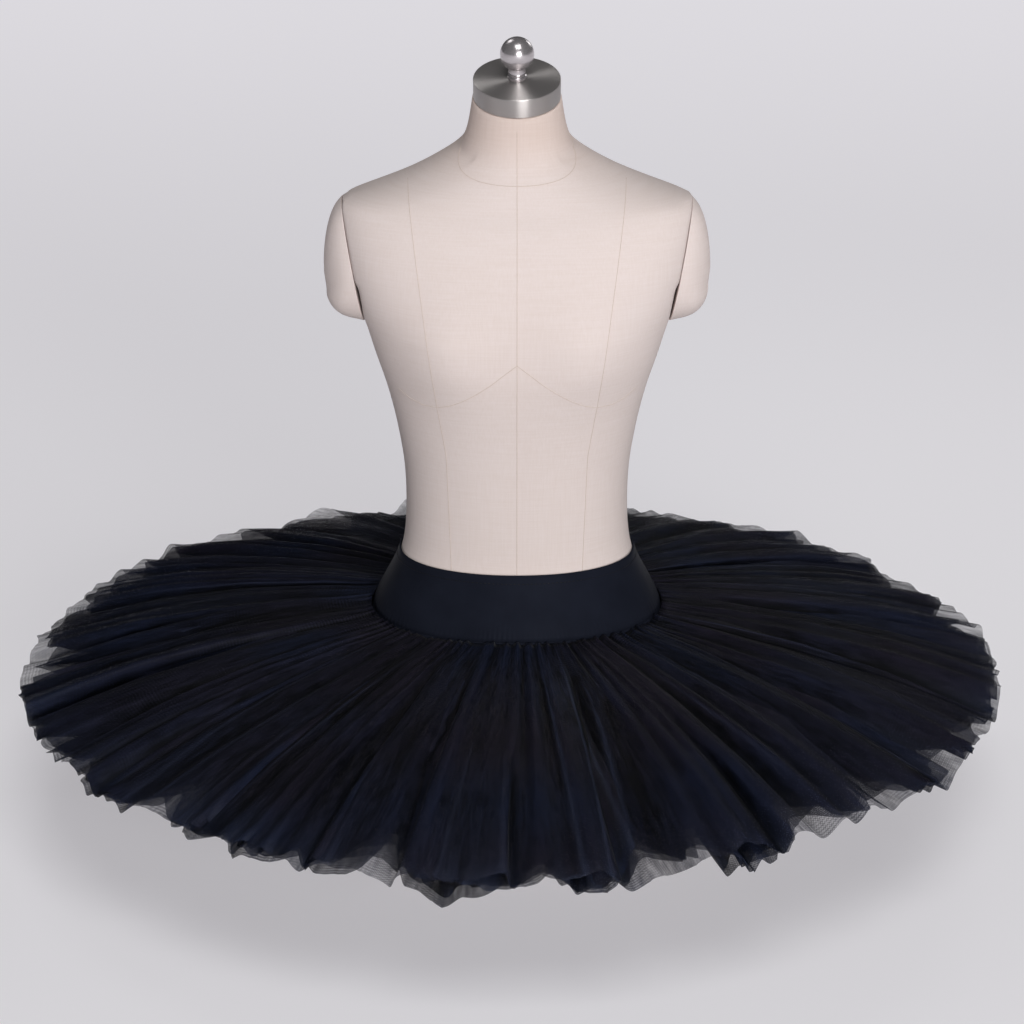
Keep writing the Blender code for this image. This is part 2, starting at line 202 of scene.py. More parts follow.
def waves(tree, vector, direction, spacing):
    """Even waves from -1 to 1 across a direction, one every spacing metres."""
    steps = [2 * math.pi / spacing * part for part in direction]
    across = add_node(tree, "ShaderNodeVectorMath", {0: vector, 1: steps}, operation="DOT_PRODUCT")
    return add_node(tree, "ShaderNodeMath", {0: across.outputs["Value"]}, operation="COSINE").outputs[0]


# ---- materials ----


def tulle_material():
    """Nylon tulle, a knitted hexagonal net, dyed black: matt threads with holes that show what is behind,
    denser where the strip is gathered. Its courses draw faint lines across the folds and the dye leans to blue
    in one place and to brown in another. Painted shade darkens the fold valleys and creases, painted highlight
    lightens the fold backs, crease ridges and laps, and a thin painted highlight runs along each turned edge,
    with painted light from the floor between the plies at the rim."""
    made, tree = new_material("black nylon tulle")
    uv = tree.nodes.new("ShaderNodeUVMap").outputs["UV"]
    knit = 0.0
    for turn in (0, 60, 120):
        direction = (math.sin(math.radians(turn)), math.cos(math.radians(turn)), 0.0)
        wave = waves(tree, uv, direction, NET_CELL * math.cos(math.radians(30)))
        knit = add_node(tree, "ShaderNodeMath", {0: wave, 1: 0.5, 2: knit}, operation="MULTIPLY_ADD").outputs[0]
    patch = add_node(tree, "ShaderNodeAttribute", attribute_name="lines").outputs["Fac"]
    course = {0: waves(tree, uv, (0.06, 1.0, 0.0), COURSE), 1: patch}
    course = add_node(tree, "ShaderNodeMath", course, operation="MULTIPLY").outputs[0]
    along = add_node(tree, "ShaderNodeMapping", {"Vector": uv, "Scale": CREASE_SCALE})
    crease = {"Vector": along.outputs["Vector"], "Scale": 1.0, "Detail": 1.0, "Roughness": 0.6}
    crease = add_node(tree, "ShaderNodeTexNoise", crease).outputs["Fac"]
    crease = add_node(tree, "ShaderNodeMath", {0: crease, 1: 0.5}, operation="SUBTRACT").outputs[0]
    grain = add_node(tree, "ShaderNodeMath", {0: course, 1: 0.7, 2: knit}, operation="MULTIPLY_ADD").outputs[0]
    grain = add_node(tree, "ShaderNodeMath", {0: crease, 1: CREASE_HOLES, 2: grain}, operation="MULTIPLY_ADD")
    hole = add_node(
        tree,
        "ShaderNodeMapRange",
        {"Value": grain.outputs[0], "From Min": -1.4, "From Max": 1.6, "To Min": AT_THREAD, "To Max": AT_HOLE},
        interpolation_type="SMOOTHSTEP",
    )
    plies = add_node(tree, "ShaderNodeAttribute", attribute_name="gathering").outputs["Fac"]
    plies = add_node(tree, "ShaderNodeMath", {0: plies, 1: 0.5}, operation="MULTIPLY")  # a sheet has two faces
    through = add_node(tree, "ShaderNodeMath", {0: hole.outputs[0], 1: plies.outputs[0]}, operation="POWER")
    cover = {0: 1.0, 1: through.outputs[0]}
    cover = add_node(tree, "ShaderNodeMath", cover, operation="SUBTRACT", use_clamp=True)
    brown = add_node(tree, "ShaderNodeAttribute", attribute_name="brown").outputs["Fac"]
    hue = {"Factor": brown, "A": linear("#191f32"), "B": linear("#1f1d29")}
    dye = add_node(tree, "ShaderNodeMix", hue, data_type="RGBA").outputs["Result"]
    # painted shade and highlight of the folds, creases and laps: the tone runs from near black in the hollows
    # to the dye on the backs
    crest = add_node(tree, "ShaderNodeAttribute", attribute_name="crest").outputs["Fac"]
    lit = add_node(tree, "ShaderNodeMath", {0: course, 1: -0.17, 2: crest}, operation="MULTIPLY_ADD").outputs[0]
    # painted shade where the crease noise is high
    lit = {0: crease, 1: -CREASE_SHADE, 2: lit}
    lit = add_node(tree, "ShaderNodeMath", lit, operation="MULTIPLY_ADD", use_clamp=True).outputs[0]
    shade = {"Factor": lit, "A": linear("#05060a"), "B": dye}
    shade = add_node(tree, "ShaderNodeMix", shade, data_type="RGBA").outputs["Result"]
    # painted highlight along the turned edges of the folds, and painted light at the rim, in a paler blue
    edge = add_node(tree, "ShaderNodeAttribute", attribute_name="edge").outputs["Fac"]
    colour = {"Factor": edge, "A": shade, "B": linear("#30364a")}
    colour = add_node(tree, "ShaderNodeMix", colour, data_type="RGBA").outputs["Result"]
    finish_material(
        tree,
        {
            "Base Color": colour,
            "Alpha": cover.outputs[0],
            "Roughness": 0.55,
            "Specular IOR Level": 0.08,
            "Sheen Weight": 0.03,
            "Sheen Roughness": 0.35,
        },
    )
    return made


def satin_material():
    """Duchess satin worn matt side out: a tight warp-faced weave whose fine upright lines catch a soft
    light."""
    made, tree = new_material("matt black duchess satin")
    place = tree.nodes.new("ShaderNodeTexCoord").outputs["Object"]
    uv = tree.nodes.new("ShaderNodeUVMap").outputs["UV"]
    rib = waves(tree, uv, (1, 0, 0), 1.3 * MM)  # real warps are 0.1 mm apart, too fine to show
    pick = waves(tree, uv, (0, 1, 0), 1.6 * MM)
    weave = add_node(tree, "ShaderNodeMath", {0: pick, 1: 0.6, 2: rib}, operation="MULTIPLY_ADD").outputs[0]
    cloud = add_node(tree, "ShaderNodeTexNoise", {"Vector": place, "Scale": 30.0, "Detail": 4.0}).outputs["Fac"]
    mixed = {0: weave, 1: 0.06, 2: cloud}
    mixed = add_node(tree, "ShaderNodeMath", mixed, operation="MULTIPLY_ADD", use_clamp=True).outputs[0]
    colour = {"Factor": mixed, "A": linear("#14161e"), "B": linear("#1e212b")}
    colour = add_node(tree, "ShaderNodeMix", colour, data_type="RGBA").outputs["Result"]
    bump = add_node(tree, "ShaderNodeBump", {"Height": weave, "Strength": 0.06, "Distance": 0.1 * MM})
    finish_material(
        tree,
        {
            "Base Color": colour,
            "Normal": bump.outputs["Normal"],
            "Roughness": 0.46,
            "Specular IOR Level": 0.02,
            "Specular Tint": (0.70, 0.76, 1.0, 1.0),
        },
    )
    return made


def linen_material():
    """Unbleached linen canvas drawn tight over padding: a plain weave whose threads vary in thickness, so
    faint level and upright streaks cross each other, with a slightly warm, uneven tone and no gloss."""
    made, tree = new_material("natural linen canvas")
    place = tree.nodes.new("ShaderNodeTexCoord").outputs["Object"]
    weave = 0.0
    for scale in ((26.0, 26.0, 700.0), (640.0, 640.0, 22.0)):  # slubs 1.5 mm wide and 40 mm long
        along = add_node(tree, "ShaderNodeMapping", {"Vector": place, "Scale": scale})
        slub = {"Vector": along.outputs["Vector"], "Scale": 1.0, "Detail": 1.0}
        slub = add_node(tree, "ShaderNodeTexNoise", slub).outputs["Fac"]
        weave = add_node(tree, "ShaderNodeMath", {0: slub, 1: weave}, operation="ADD").outputs[0]
    tone = add_node(tree, "ShaderNodeTexNoise", {"Vector": place, "Scale": 5.0, "Detail": 1.0}).outputs["Fac"]
    mixed = add_node(tree, "ShaderNodeMath", {0: weave, 1: 1.1, 2: tone}, operation="MULTIPLY_ADD").outputs[0]
    mixed = add_node(tree, "ShaderNodeMapRange", {"Value": mixed, "From Min": 0.6, "From Max": 2.6})
    colour = {"Factor": mixed.outputs["Result"], "A": linear("#d6c7c0"), "B": linear("#e1d5d2")}
    colour = add_node(tree, "ShaderNodeMix", colour, data_type="RGBA").outputs["Result"]
    high = add_node(tree, "ShaderNodeSeparateXYZ", {"Vector": place}).outputs["Z"]
    high = {"Value": high, "From Min": 0.69, "From Max": 0.75, "To Max": 0.8}
    high = add_node(tree, "ShaderNodeMapRange", high, interpolation_type="SMOOTHSTEP").outputs["Result"]
    darker_near_neck = {"Factor": high, "A": (1.0, 1.0, 1.0, 1.0), "B": (0.88, 0.82, 0.77, 1.0)}  # darker and warmer towards the neck
    darker_near_neck = add_node(tree, "ShaderNodeMix", darker_near_neck, data_type="RGBA").outputs["Result"]
    colour = {"Factor": 1.0, "A": colour, "B": darker_near_neck}
    colour = add_node(tree, "ShaderNodeMix", colour, data_type="RGBA", blend_type="MULTIPLY").outputs["Result"]
    bump = add_node(tree, "ShaderNodeBump", {"Height": weave, "Strength": 0.25, "Distance": 0.25 * MM})
    finish_material(
        tree,
        {
            "Base Color": colour,
            "Normal": bump.outputs["Normal"],
            "Roughness": 0.92,
            "Specular IOR Level": 0.2,
            "Sheen Weight": 0.05,
        },
    )
    return made


def thread_material(name, code, roughness):
    """Spun polyester sewing thread, a little uneven in tone along its twist."""
    made, tree = new_material(name)
    place = tree.nodes.new("ShaderNodeTexCoord").outputs["Object"]
    cloud = {"Vector": place, "Scale": 400.0, "Detail": 2.0}
    cloud = add_node(tree, "ShaderNodeTexNoise", cloud).outputs["Fac"]
    shades = [(*[min(part * tone, 1.0) for part in linear(code)[:3]], 1.0) for tone in (0.85, 1.15)]
    colour = {"Factor": cloud, "A": shades[0], "B": shades[1]}
    colour = add_node(tree, "ShaderNodeMix", colour, data_type="RGBA")
    finish_material(
        tree, {"Base Color": colour.outputs["Result"], "Roughness": roughness, "Specular IOR Level": 0.3}
    )
    return made


def brushed_steel_material():
    """Stainless steel turned and brushed with grit while it spins: rings of fine scratches that draw a
    highlight out into a fan on the top and into upright bars on the rim."""
    made, tree = new_material("brushed stainless steel")
    ring = add_node(tree, "ShaderNodeAttribute", attribute_name="ring").outputs["Fac"]
    grit = {"W": ring, "Scale": 2600.0, "Detail": 3.0}
    grit = add_node(tree, "ShaderNodeTexNoise", grit, noise_dimensions="1D").outputs["Fac"]
    rough = add_node(tree, "ShaderNodeMapRange", {"Value": grit, "To Min": 0.34, "To Max": 0.46})
    bump = add_node(tree, "ShaderNodeBump", {"Height": grit, "Strength": 0.3, "Distance": 0.03 * MM})
    tangent = add_node(tree, "ShaderNodeTangent", direction_type="UV_MAP")
    finish_material(
        tree,
        {
            "Base Color": linear("#b9b4b2"),
            "Metallic": 0.8,  # the scratches scatter some of the light
            "Roughness": rough.outputs["Result"],
            "Normal": bump.outputs["Normal"],
            "Anisotropic": 0.96,
            "Anisotropic Rotation": 0.25,
            "Tangent": tangent.outputs["Tangent"],
        },
    )
    return made


def polished_steel_material():
    """The same steel polished on a wheel: sharp reflections with a trace of haze from buffing."""
    made, tree = new_material("polished stainless steel")
    place = tree.nodes.new("ShaderNodeTexCoord").outputs["Object"]
    haze = add_node(tree, "ShaderNodeTexNoise", {"Vector": place, "Scale": 120.0, "Detail": 4.0}).outputs["Fac"]
    rough = add_node(tree, "ShaderNodeMapRange", {"Value": haze, "To Min": 0.20, "To Max": 0.30})
    finish_material(
        tree, {"Base Color": linear("#c6c0c2"), "Metallic": 0.8, "Roughness": rough.outputs["Result"]}
    )
    return made


def floor_material():
    """Painted studio cove, lit from inside as well so that it stays pale under the skirt."""
    made, tree = new_material("matt studio paint")
    made.cycles.emission_sampling = "NONE"  # so wide and even a glow is found without aiming rays at it
    place = tree.nodes.new("ShaderNodeTexCoord").outputs["Object"]
    split = add_node(tree, "ShaderNodeSeparateXYZ", {"Vector": place})
    back = {"Value": split.outputs["Y"], "From Min": -0.3, "From Max": 5.0}
    back = add_node(tree, "ShaderNodeMapRange", back, interpolation_type="SMOOTHSTEP").outputs["Result"]
    glow = {"Factor": back, "A": FLOOR_GLOW, "B": FLOOR_GLOW_BACK}
    glow = add_node(tree, "ShaderNodeMix", glow, data_type="RGBA").outputs["Result"]
    finish_material(
        tree,
        {
            "Base Color": FLOOR_PAINT,
            "Roughness": 0.95,
            "Specular IOR Level": 0.0,
            "Emission Color": glow,
            "Emission Strength": 1.0,
        },
    )
    return made


# ---- what the frame holds ----


class Solid:
    """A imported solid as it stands: its corners, and a tree that rays are asked of."""

    def __init__(self, name):
        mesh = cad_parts[name].data
        self.points = np.empty(len(mesh.vertices) * 3)
        mesh.vertices.foreach_get("co", self.points)
        self.points = self.points.reshape(-1, 3)
        self.tree = BVHTree.FromPolygons(
            [tuple(p) for p in self.points], [tuple(f.vertices) for f in mesh.polygons]
        )


def tree_of(piece):
    """A tree of a piece with its modifiers."""
    return BVHTree.FromObject(piece, bpy.context.evaluated_depsgraph_get())


def new_piece(name, mesh, material, *replaced, slot):
    """Puts a mesh in the scene as a piece of the garment or the form."""
    mesh.name = name
    mesh.materials.clear()
    mesh.materials.append(material)
    piece = bpy.data.objects.new(name, mesh)
    bpy.context.scene.collection.objects.link(piece)
    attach(piece, "root")
    if replaced:
        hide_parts(*replaced)
    return piece


def ring_mesh(name, rows, round_it, across, closed=False):
    """A mesh from rows of points that run round a ring. closed joins the last row to the first. Its UV map
    holds the cloth's own metres: round_it is the length of the strip, across how far up it each row
    lies."""
    rings, columns = rows.shape[:2]
    mesh = bpy.data.meshes.new(name)
    k, i = np.meshgrid(np.arange(rings if closed else rings - 1), np.arange(columns), indexing="ij")
    after, above = (i + 1) % columns, (k + 1) % rings
    corners = [k * columns + i, k * columns + after, above * columns + after, above * columns + i]
    faces = np.stack(corners, axis=-1).reshape(-1, 4)
    mesh.from_pydata(rows.reshape(-1, 3).tolist(), [], faces.tolist())
    u = np.stack([i, i + 1, i + 1, i], axis=-1) / columns * round_it
    v = np.stack([across[k], across[k], across[above], across[above]], axis=-1)
    layer = mesh.uv_layers.new(name="cloth")
    layer.data.foreach_set("uv", np.stack([u, v], axis=-1).ravel())
    mesh.shade_smooth()
    return mesh


# ---- the torso form ----


def rounded(name, node, levels, sharp, evened, material, slot):
    """A finished copy of a solid: its triangles joined, its facets rounded, and edges sharper than sharp
    kept. Its points are evened out among their neighbours so many times, but for those on the sharp
    edges."""
    work = bmesh.new()
    work.from_mesh(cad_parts[node].data)
    bmesh.ops.remove_doubles(work, verts=work.verts, dist=0.02 * MM)
    bmesh.ops.join_triangles(
        work,
        faces=work.faces,
        angle_face_threshold=math.radians(60),
        angle_shape_threshold=math.radians(180),
        topology_influence=2.0,  # keeps to rows of four-sided faces, which round off evenly
    )
    crease = work.edges.layers.float.new("crease_edge")
    held = set()
    for edge in work.edges:
        if edge.calc_face_angle(0.0) > math.radians(sharp):
            edge[crease] = 0.95
            held.update(edge.verts)
    free = [vert for vert in work.verts if vert not in held]
    for _ in range(evened):
        bmesh.ops.smooth_vert(work, verts=free, factor=0.5, use_axis_x=True, use_axis_y=True, use_axis_z=True)
    mesh = bpy.data.meshes.new(name)
    work.to_mesh(mesh)
    work.free()
    mesh.shade_smooth()
    piece = new_piece(name, mesh, material, node, slot=slot)
    curve = piece.modifiers.new("rounding", "SUBSURF")
    curve.levels = curve.render_levels = levels
    return piece


def turned(name, profile, base, sides, material, node, slot):
    """A piece turned about the neck's axis through base, from (radius, height) points, with its middle
    closed at both ends. Its "ring" attribute is the distance along the profile."""
    across = Vector((1.0, 0.0, 0.0))
    beside = NECK_AXIS.cross(across)
    work = bmesh.new()
    length = work.verts.layers.float.new("ring")
    rows, along, last = [], 0.0, None
    for radius, height in profile:
        if last is not None:
            along += math.dist(last, (radius, height))
        last = (radius, height)
        row = []
        for k in range(sides if radius > 0 else 1):
            turn = 2 * math.pi * k / sides
            spoke = across * math.cos(turn) + beside * math.sin(turn)
            corner = work.verts.new(base + NECK_AXIS * height + spoke * radius)
            corner[length] = along
            row.append(corner)
        rows.append(row)
    uv = work.loops.layers.uv.new("turned")
    for j, (low, high) in enumerate(zip(rows, rows[1:])):
        for k in range(sides):
            after = (k + 1) % sides
            if len(low) == 1:
                face = work.faces.new((low[0], high[after], high[k]))
                spots = [(k + 0.5, j), (k + 1, j + 1), (k, j + 1)]
            elif len(high) == 1:
                face = work.faces.new((low[k], low[after], high[0]))
                spots = [(k, j), (k + 1, j), (k + 0.5, j + 1)]
            else:
                face = work.faces.new((low[k], low[after], high[after], high[k]))
                spots = [(k, j), (k + 1, j), (k + 1, j + 1), (k, j + 1)]
            for loop, (u, v) in zip(face.loops, spots):
                loop[uv].uv = (u / sides, v / len(rows))
    mesh = bpy.data.meshes.new(name)
    work.to_mesh(mesh)
    work.free()
    mesh.shade_smooth()
    mesh.set_sharp_from_angle(angle=math.radians(35))
    return new_piece(name, mesh, material, node, slot=slot)


def along_neck(node):
    """The middle of a solid of revolution on the neck, its lowest and highest points along the neck's lean,
    and its largest radius."""
    points = Solid(node).points
    middle = Vector(points.mean(axis=0))
    middle.x = 0.0
    heights = (points - np.array(middle)) @ np.array(NECK_AXIS)
    off = points - np.array(middle) - heights[:, None] * np.array(NECK_AXIS)
    radius = np.linalg.norm(off, axis=1).max()
    return middle + NECK_AXIS * float(heights.min()), float(np.ptp(heights)), float(radius)


def make_neck_plate(steel):
    """The round plate that closes the neck, with its two edges rounded off."""
    base, thick, radius = along_neck("neck_plate")
    bevel, flat = PLATE_BEVEL, radius - PLATE_BEVEL
    turns = [math.pi / 2 * k / 4 for k in range(5)]
    profile = [(0.0, 0.0), (flat, 0.0)]
    profile += [(flat + bevel * math.sin(turn), bevel - bevel * math.cos(turn)) for turn in turns]
    profile += [(flat + bevel * math.cos(turn), thick - bevel + bevel * math.sin(turn)) for turn in turns]
    profile += [(radius * share, thick) for share in (0.8, 0.55, 0.3, 0.0)]
    turned("neck_plate_turned", profile, base, 128, steel, "neck_plate", "plate_steel")


def make_finial(steel):
    """The ball that caps the neck's rod, on a short turned stem."""
    base, tall, radius = along_neck("ball_finial")
    stem = radius * 0.56
    profile = [(0.0, 0.0)] + [(stem * share, height * MM) for share, height in STEM]
    centre = tall - radius
    start = math.asin(stem * 0.86 / radius)
    for k in range(21):
        turn = start + (math.pi - start) * k / 20
        profile.append((max(radius * math.sin(turn), 0.0), centre - radius * math.cos(turn)))
    profile[-1] = (0.0, tall)
    turned("ball_finial_turned", profile, base, 64, steel, "ball_finial", "finial_steel")


# ---- threads ----


def geometry_tree(name, sizes):
    """An empty Geometry Nodes tree with a geometry in, a geometry out and the named sizes as inputs."""
    tree = bpy.data.node_groups.new(name, "GeometryNodeTree")
    tree.interface.new_socket("Geometry", in_out="INPUT", socket_type="NodeSocketGeometry")
    tree.interface.new_socket("Geometry", in_out="OUTPUT", socket_type="NodeSocketGeometry")
    for size in sizes:
        tree.interface.new_socket(size, in_out="INPUT", socket_type="NodeSocketFloat")
    return tree, tree.nodes.new("NodeGroupInput"), tree.nodes.new("NodeGroupOutput")


def close_tree(tree, outcome, source, material):
    """Ends a tree with real geometry in its material, as the export needs."""
    real = add_node(tree, "GeometryNodeRealizeInstances", {"Geometry": source}).outputs["Geometry"]
    dressed = add_node(tree, "GeometryNodeSetMaterial", {"Geometry": real, "Material": material})
    tree.links.new(dressed.outputs["Geometry"], outcome.inputs["Geometry"])


def seam_tree(material):
    """A round thread along each path, for the seams that join the form's cover panels."""
    tree, given, outcome = geometry_tree("seam thread", ["Radius"])
    curve = add_node(tree, "GeometryNodeMeshToCurve", {"Mesh": given.outputs["Geometry"]})
    section = add_node(
        tree, "GeometryNodeCurvePrimitiveCircle", {"Radius": given.outputs["Radius"], "Resolution": 6}
    )
    tube = {"Curve": curve.outputs["Curve"], "Profile Curve": section.outputs["Curve"], "Fill Caps": True}
    tube = add_node(tree, "GeometryNodeCurveToMesh", tube)
    close_tree(tree, outcome, tube.outputs["Mesh"], material)
    return tree


def stitch_tree(material):
    """A row of short stitches along each path, a set pitch apart, each a slim bead."""
    tree, given, outcome = geometry_tree("topstitch", ["Pitch", "Length", "Radius"])
    curve = add_node(tree, "GeometryNodeMeshToCurve", {"Mesh": given.outputs["Geometry"]})
    spots = {"Curve": curve.outputs["Curve"], "Length": given.outputs["Pitch"]}
    spots = add_node(tree, "GeometryNodeResampleCurve", spots, mode="LENGTH")
    tangent = tree.nodes.new("GeometryNodeInputTangent")
    turn = {"Vector": tangent.outputs["Tangent"]}
    turn = add_node(tree, "FunctionNodeAlignRotationToVector", turn, axis="X")
    bead = add_node(tree, "GeometryNodeMeshUVSphere", {"Segments": 8, "Rings": 5, "Radius": 1.0})
    thick = given.outputs["Radius"]
    size = add_node(tree, "ShaderNodeCombineXYZ", {"X": given.outputs["Length"], "Y": thick, "Z": thick})
    placed = add_node(
        tree,
        "GeometryNodeInstanceOnPoints",
        {
            "Points": spots.outputs["Curve"],
            "Instance": bead.outputs["Mesh"],
            "Rotation": turn.outputs["Rotation"],
            "Scale": size.outputs["Vector"],
        },
    )
    close_tree(tree, outcome, placed.outputs["Instances"], material)
    return tree


def grown(name, paths, tree, sizes, material, slot):
    """Runs a Geometry Nodes tree on a mesh of paths and keeps its result as a plain mesh piece."""
    points, edges = [], []
    for path, loop in paths:
        start = len(points)
        points += [tuple(p) for p in path]
        edges += [(start + k, start + k + 1) for k in range(len(path) - 1)]
        if loop:
            edges.append((start + len(path) - 1, start))
    guide = bpy.data.meshes.new(name + "_path")
    guide.from_pydata(points, edges, [])
    carrier = bpy.data.objects.new(name + "_path", guide)
    bpy.context.scene.collection.objects.link(carrier)
    grower = carrier.modifiers.new("grown", "NODES")
    grower.node_group = tree
    for item in tree.interface.items_tree:
        if item.in_out == "INPUT" and item.name in sizes:
            grower[item.identifier] = sizes[item.name]
    shown = carrier.evaluated_get(bpy.context.evaluated_depsgraph_get())
    mesh = bpy.data.meshes.new_from_object(shown)
    carrier.modifiers.remove(grower)
    bpy.data.objects.remove(carrier, do_unlink=True)
    mesh.shade_smooth()
    return new_piece(name, mesh, material, slot=slot)


def cover_seams(form, band_top):
    """The paths of the seams in the torso's cover, found on its surface."""

    def on_skin(side, spots):
        """The points of the skin at these (x, z), as an open path. side is 1 at the front and -1 at the
        back."""
        way = Vector((0.0, side, 0.0))
        hits = [form.ray_cast(Vector((x, -side * BODY_REACH, z)), way)[0] for x, z in spots]
        return [hit for hit in hits if hit], False

    low = band_top - SEAM_UNDER
    paths = []
    for side, top in ((1.0, PANEL_TOPS["front"]), (-1.0, PANEL_TOPS["back"])):
        paths.append(on_skin(side, [(0.0, z) for z in np.arange(low, top, SEAM_STEP)]))
        for hand in (-1, 1):
            heights = np.arange(low, PANEL_TOPS["princess"], SEAM_STEP)
            paths.append(on_skin(side, [(hand * princess(z), z) for z in heights]))
    for hand in (-1, 1):
        paths.append(on_skin(1.0, [(hand * x, underbust(x)) for x in np.arange(0.0, 0.121, 3 * MM)]))
    neck = []
    for k in range(NECK_POINTS):
        turn = 2 * math.pi * k / NECK_POINTS
        x, y = math.cos(turn), math.sin(turn)
        way = Vector((-x, -y, -NECK_SEAM_SLOPE * y))
        start = Vector((NECK_REACH * x, NECK_REACH * y, NECK_SEAM + NECK_REACH * NECK_SEAM_SLOPE * y))
        neck.append(form.ray_cast(start, way)[0])
    paths.append((neck, True))
    return paths


def princess(z):
    """How far from the middle the seam over the bust lies at a height."""
    return float(np.interp(z, PRINCESS[0], PRINCESS[1]))


def underbust(x):
    """The height of the seam below the bust, this far from the middle."""
    return float(np.interp(x, UNDERBUST[0], UNDERBUST[1]))


# ---- the nets ----


def blurred(rows, columns_wide):
    """Rows round a ring, each point averaged with its neighbours over a number of columns."""
    wide = max(int(columns_wide) // 2, 0)
    if wide == 0:
        return rows
    total = sum(np.roll(rows, shift, axis=-1) for shift in range(-wide, wide + 1))
    return total / (2 * wide + 1)


def even_steps(loop, count):
    """count points at equal steps along a closed loop of points."""
    closed = np.vstack([loop, loop[:1]])
    lengths = np.concatenate([[0.0], np.cumsum(np.linalg.norm(np.diff(closed, axis=0), axis=1))])
    want = np.linspace(0.0, lengths[-1], count, endpoint=False)
    return np.column_stack([np.interp(want, lengths, closed[:, k]) for k in range(closed.shape[1])])


def off_line(share, at):
    """How far each place round the ring is from a line across it, as a share of the ring, from -0.5 to
    0.5."""
    return (share - at + 0.5) % 1.0 - 0.5


def eased(part):
    """Turns an even rise from 0 to 1 into one that starts and stops gently."""
    return part * part * (3 - 2 * part)


def seam_loop(yoke, height):
    """The oval that a net is sewn to, from rays at the yoke, starting at the middle of the back."""
    points = []
    for k in range(OVAL_POINTS):
        turn = math.pi / 2 + 2 * math.pi * k / OVAL_POINTS
        way = Vector((math.cos(turn), math.sin(turn), 0.0))
        hit = yoke.tree.ray_cast(way * BODY_REACH + Vector((0.0, 0.0, height)), -way)[0]
        points.append((Vector((hit.x, hit.y, 0.0)) + way * SEAM_OUT)[:2])
    loop = np.array(points)
    return np.column_stack([blurred(loop[:, 0], 9), blurred(loop[:, 1], 9)])


def rim_loop(solid):
    """The oval of a net solid's rim, with its ragged cut evened out."""
    radii = []
    top = float(solid.points[:, 2].max()) + OVERHEAD
    for k in range(OVAL_POINTS):
        turn = math.pi / 2 + 2 * math.pi * k / OVAL_POINTS
        x, y, radius = math.cos(turn), math.sin(turn), RIM_SEARCH
        while solid.tree.ray_cast(Vector((radius * x, radius * y, top)), DOWN)[0] is None:
            radius -= RIM_STEP
        radii.append(radius)
    radii = blurred(blurred(np.array(radii), 15), 9)
    turns = np.pi / 2 + 2 * np.pi * np.arange(OVAL_POINTS) / OVAL_POINTS
    return np.column_stack([radii * np.cos(turns), radii * np.sin(turns)])


def heights_under(solid, flat):
    """The height of the middle of a net solid's wall at each point of a grid, and beyond its rim that of the
    nearest point."""
    rings, columns = flat.shape[:2]
    heights = np.empty((rings, columns))
    top = float(solid.points[:, 2].max()) + OVERHEAD
    for i in range(columns):
        last = None
        for k in range(rings):
            x, y = flat[k, i]
            hit = solid.tree.ray_cast(Vector((x, y, top)), DOWN)[0]
            if hit is None:
                hit = solid.tree.find_nearest(Vector((x, y, top - OVERHEAD if last is None else last)))[0]
            last = hit.z
            heights[k, i] = hit.z - NET_SOLID_WALL / 2
    return heights


def wander(dice, share, slowest, fastest, terms=6):
    """A smooth closed random line round the ring, mostly from -1 to 1."""
    total = np.zeros_like(share)
    for _ in range(terms):
        turns = dice.randint(slowest, fastest)
        total = total + dice.uniform(0.5, 1.0) * np.sin(2 * np.pi * (turns * share + dice.random()))
    return total / math.sqrt(terms) * 1.2


def soft_folds(seed, folds, share, across):
    """Height and sideways tip of rounded folds that come and go round the ring."""
    dice = random.Random(seed)
    height = np.zeros((len(across), len(share)))
    aside = np.zeros_like(height)
    far = across[:, None]
    for fold in folds:
        stray = 0.35 * wander(dice, share, 2, 9)[None]
        phase = 2 * np.pi * (fold.count * share + fold.drift * wander(dice, share, 3, 14))[None]
        phase = phase + 2 * np.pi * stray * far
        come, go = (0.7 + 0.7 * np.clip(wander(dice, share, 7, 31), -1, 1)[None] for _ in range(2))
        size = fold.seam_height + (fold.rim_height - fold.seam_height) * far**0.9
        wave = np.sin(phase + 0.45 * np.sin(phase)) * size * (come * (1 - far) + go * far)
        height += wave
        aside += wave * (fold.lean * np.clip(0.5 + wander(dice, share, 2, 7), -1.4, 1.4))[None]
    return height, aside


def valleys(seed, share, across):
    """The narrow deep valleys between the broad backs, each with its own place, depth, width and start: their
    height, their sideways tip, and how strongly the cloth is turned over along their lips."""
    dice = random.Random(seed)
    height = np.zeros((len(across), len(share)))
    aside, lips = np.zeros_like(height), np.zeros_like(height)
    far = across[:, None]
    for k in range(VALLEYS):
        at = k + dice.uniform(-0.38, 0.38) + dice.uniform(-0.45, 0.45) * far
        beside = off_line(share[None], at / VALLEYS)
        wide = dice.uniform(0.12, 0.34) * (0.6 + 0.4 * far) / VALLEYS
        come = eased(np.clip((far - dice.uniform(-0.25, 0.40)) / 0.45, 0, 1))
        deep = VALLEY_DEPTH * (0.15 + 0.85 * dice.random() ** 1.6)
        dip = deep * (0.15 + 0.85 * far) * (1 - 0.4 * far**5) * come
        dip = dip * np.exp(-np.abs(beside / wide) ** 1.5)
        lean = dice.uniform(-1.0, 1.0)
        height -= dip
        aside += VALLEY_LEAN * lean * dip
        lip = np.exp(-(((beside * math.copysign(1, lean)) / wide - 1.3) ** 2) / 0.03)
        lips += dice.uniform(0.0, 0.8) * come * (1 - 0.5 * far) * lip
    return height - height.mean(axis=1, keepdims=True), aside, lips


